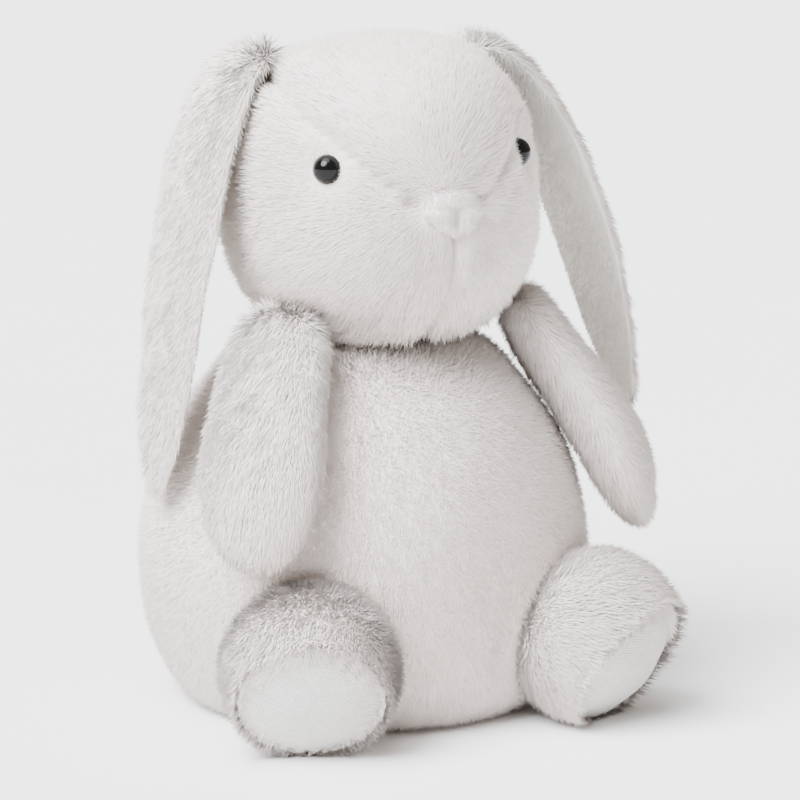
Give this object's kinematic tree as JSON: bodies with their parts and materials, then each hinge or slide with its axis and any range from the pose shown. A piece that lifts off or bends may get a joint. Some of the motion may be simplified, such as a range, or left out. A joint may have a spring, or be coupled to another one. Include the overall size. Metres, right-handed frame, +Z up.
{
  "type": "stuffed bunny rabbit",
  "caption": "Seated stuffed bunny with a round body, boxy head, hanging lined ears, arms at the sides and round feet with flat cloth soles.",
  "frame": {"origin": "on the body's upright axis, in the plane that it sits on", "axes": "+Z up, -Y is where the bunny's body faces, +X is the bunny's own left"},
  "size_m": [0.2978, 0.2868, 0.3371],
  "materials": {
    "body_plush": "short dense off-white plush",
    "long_pile_plush": "soft longer off-white plush",
    "nose_velour": "short pale velour",
    "ear_lining_cloth": "smooth pale beige short-pile cloth",
    "sole_linen": "woven pale linen",
    "eye_plastic": "glossy black",
    "washer_plastic": "plain white plastic",
    "polyester_filling": "loose white fibre",
    "bean_bag_cloth": "plain woven cloth"
  },
  "bodies": {
    "torso": {"belly_panel": "body_plush", "back_panel_left": "body_plush", "back_panel_right": "body_plush", "seat_panel": "body_plush", "body_stuffing": "polyester_filling", "seat_bean_bag": "bean_bag_cloth", "neck_stuffing": "polyester_filling", "tail_cover": "long_pile_plush", "tail_stuffing": "polyester_filling"},
    "head": {"head_gusset": "long_pile_plush", "face_left": "long_pile_plush", "face_right": "long_pile_plush", "head_back": "long_pile_plush", "head_stuffing": "polyester_filling", "nose": "nose_velour", "eye_left": "eye_plastic", "eye_right": "eye_plastic", "eye_washer_left": "washer_plastic", "eye_washer_right": "washer_plastic"},
    "ear_left": {"ear_left_back": "long_pile_plush", "ear_left_lining": "ear_lining_cloth"},
    "ear_right": {"ear_right_back": "long_pile_plush", "ear_right_lining": "ear_lining_cloth"},
    "arm_left": {"arm_left_outer": "long_pile_plush", "arm_left_inner": "long_pile_plush", "arm_left_stuffing": "polyester_filling"},
    "arm_right": {"arm_right_outer": "long_pile_plush", "arm_right_inner": "long_pile_plush", "arm_right_stuffing": "polyester_filling"},
    "leg_left": {"foot_left_upper": "long_pile_plush", "foot_left_sole": "sole_linen", "foot_left_stuffing": "polyester_filling"},
    "leg_right": {"foot_right_upper": "long_pile_plush", "foot_right_sole": "sole_linen", "foot_right_stuffing": "polyester_filling"}
  },
  "joints": [
    {"name": "neck_nod", "type": "hinge", "parent": "torso", "child": "head", "pos_m": [0, -0.018, 0.206], "axis": [1, 0, 0], "range_deg": [0, 7], "stiffness_Nm_per_rad": 1.5},
    {"name": "ear_left_lift", "type": "hinge", "parent": "head", "child": "ear_left", "pos_m": [0.055, 0.003, 0.33], "axis": [0, -1, 0], "range_deg": [0, 90]},
    {"name": "ear_right_lift", "type": "hinge", "parent": "head", "child": "ear_right", "pos_m": [-0.055, 0.003, 0.33], "axis": [0, 1, 0], "range_deg": [0, 90]},
    {"name": "arm_left_raise", "type": "hinge", "parent": "torso", "child": "arm_left", "pos_m": [0.071, -0.04, 0.193], "axis": [-1, 0, 0], "range_deg": [0, 40], "stiffness_Nm_per_rad": 0.08},
    {"name": "arm_right_raise", "type": "hinge", "parent": "torso", "child": "arm_right", "pos_m": [-0.071, -0.04, 0.193], "axis": [-1, 0, 0], "range_deg": [0, 40], "stiffness_Nm_per_rad": 0.08},
    {"name": "leg_left_lift", "type": "hinge", "parent": "torso", "child": "leg_left", "pos_m": [0.06644, -0.11057, 0.0418], "axis": [-0.9397, -0.3419, 0], "range_deg": [0, 40], "stiffness_Nm_per_rad": 0.15},
    {"name": "leg_right_lift", "type": "hinge", "parent": "torso", "child": "leg_right", "pos_m": [-0.08798, -0.09434, 0.0418], "axis": [-0.8746, 0.4848, 0], "range_deg": [0, 40], "stiffness_Nm_per_rad": 0.15}
  ]
}
